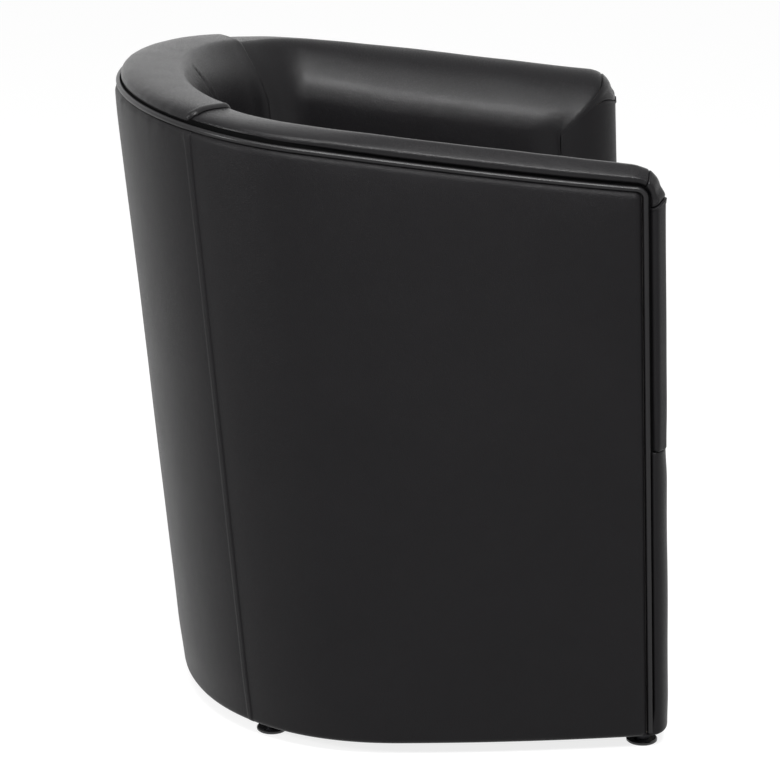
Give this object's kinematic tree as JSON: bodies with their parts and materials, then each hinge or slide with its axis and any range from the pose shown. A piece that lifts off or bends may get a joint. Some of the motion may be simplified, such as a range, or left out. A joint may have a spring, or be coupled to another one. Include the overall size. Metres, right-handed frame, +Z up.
{
  "type": "tub armchair",
  "caption": "Upholstered tub armchair: a curved padded wall with rolled rim and piping wraps a crowned seat, on small levelling glides.",
  "frame": {"origin": "on the floor under the middle of the chair's bounding box", "axes": "+Z up, +Y towards the back of the chair, +X to the sitter's left as seen from the front (to the right in a view along +Y)"},
  "size_m": [0.66, 0.636, 0.7491],
  "materials": {
    "black_leather": "satin",
    "seat_leather": "satin",
    "piping_leather": "satin",
    "foam": "matte",
    "liner_board": "matte",
    "elastic_webbing": "matte",
    "dust_cloth": "matte",
    "glide_plastic": "gloss",
    "blackened_steel": "satin",
    "zinc_steel": "satin",
    "frame_timber": "matte",
    "plywood": "matte"
  },
  "bodies": {
    "tub": {"apron_board": "plywood", "apron_cover": "black_leather", "apron_foam": "foam", "arm_front_board_left": "plywood", "arm_front_board_right": "plywood", "back_post_left": "frame_timber", "back_post_right": "frame_timber", "back_rail": "frame_timber", "base_board": "plywood", "corner_blocks": "frame_timber", "dust_cover": "dust_cloth", "facing_cap_left": "black_leather", "facing_cap_right": "black_leather", "facing_cover_left": "black_leather", "facing_cover_right": "black_leather", "facing_foam_left": "foam", "facing_foam_right": "foam", "front_post_left": "frame_timber", "front_post_right": "frame_timber", "front_rail": "frame_timber", "inner_cover_back": "black_leather", "inner_cover_left": "black_leather", "inner_cover_right": "black_leather", "inner_foam_back": "foam", "inner_foam_left": "foam", "inner_foam_right": "foam", "inner_liner_back": "liner_board", "inner_liner_left": "liner_board", "inner_liner_right": "liner_board", "outer_cover_back": "black_leather", "outer_cover_left": "black_leather", "outer_cover_right": "black_leather", "outer_liner_back": "liner_board", "outer_liner_left": "liner_board", "outer_liner_right": "liner_board", "piping": "piping_leather", "rim_board": "plywood", "rim_foam_back": "foam", "rim_foam_left": "foam", "rim_foam_right": "foam", "seat_cover": "seat_leather", "seat_foam": "foam", "side_rail_left": "frame_timber", "side_rail_right": "frame_timber", "straps_crosswise": "elastic_webbing", "straps_lengthwise": "elastic_webbing", "tee_nuts": "zinc_steel"},
    "foot_front_left": {"glide_disc_front_left": "glide_plastic"},
    "stud_front_left": {"glide_stud_front_left": "blackened_steel"},
    "foot_front_right": {"glide_disc_front_right": "glide_plastic"},
    "stud_front_right": {"glide_stud_front_right": "blackened_steel"},
    "foot_rear_left": {"glide_disc_rear_left": "glide_plastic"},
    "stud_rear_left": {"glide_stud_rear_left": "blackened_steel"},
    "foot_rear_right": {"glide_disc_rear_right": "glide_plastic"},
    "stud_rear_right": {"glide_stud_rear_right": "blackened_steel"}
  },
  "joints": [
    {"name": "level_front_left", "type": "slide", "parent": "tub", "child": "foot_front_left", "axis": [0, 0, -1], "range_m": [0, 0.01]},
    {"name": "screw_front_left", "type": "hinge", "parent": "foot_front_left", "child": "stud_front_left", "pos_m": [-0.269, -0.289, 0], "axis": [0, 0, -1], "range_deg": [0, 2880]},
    {"name": "level_front_right", "type": "slide", "parent": "tub", "child": "foot_front_right", "axis": [0, 0, -1], "range_m": [0, 0.01]},
    {"name": "screw_front_right", "type": "hinge", "parent": "foot_front_right", "child": "stud_front_right", "pos_m": [0.269, -0.289, 0], "axis": [0, 0, -1], "range_deg": [0, 2880]},
    {"name": "level_rear_left", "type": "slide", "parent": "tub", "child": "foot_rear_left", "axis": [0, 0, -1], "range_m": [0, 0.01]},
    {"name": "screw_rear_left", "type": "hinge", "parent": "foot_rear_left", "child": "stud_rear_left", "pos_m": [-0.233, 0.139, 0], "axis": [0, 0, -1], "range_deg": [0, 2880]},
    {"name": "level_rear_right", "type": "slide", "parent": "tub", "child": "foot_rear_right", "axis": [0, 0, -1], "range_m": [0, 0.01]},
    {"name": "screw_rear_right", "type": "hinge", "parent": "foot_rear_right", "child": "stud_rear_right", "pos_m": [0.233, 0.139, 0], "axis": [0, 0, -1], "range_deg": [0, 2880]}
  ],
  "couplings": [
    {"joint": "screw_front_left", "follows": "level_front_left", "rad_per_m": 5026.5},
    {"joint": "screw_front_right", "follows": "level_front_right", "rad_per_m": 5026.5},
    {"joint": "screw_rear_left", "follows": "level_rear_left", "rad_per_m": 5026.5},
    {"joint": "screw_rear_right", "follows": "level_rear_right", "rad_per_m": 5026.5}
  ]
}
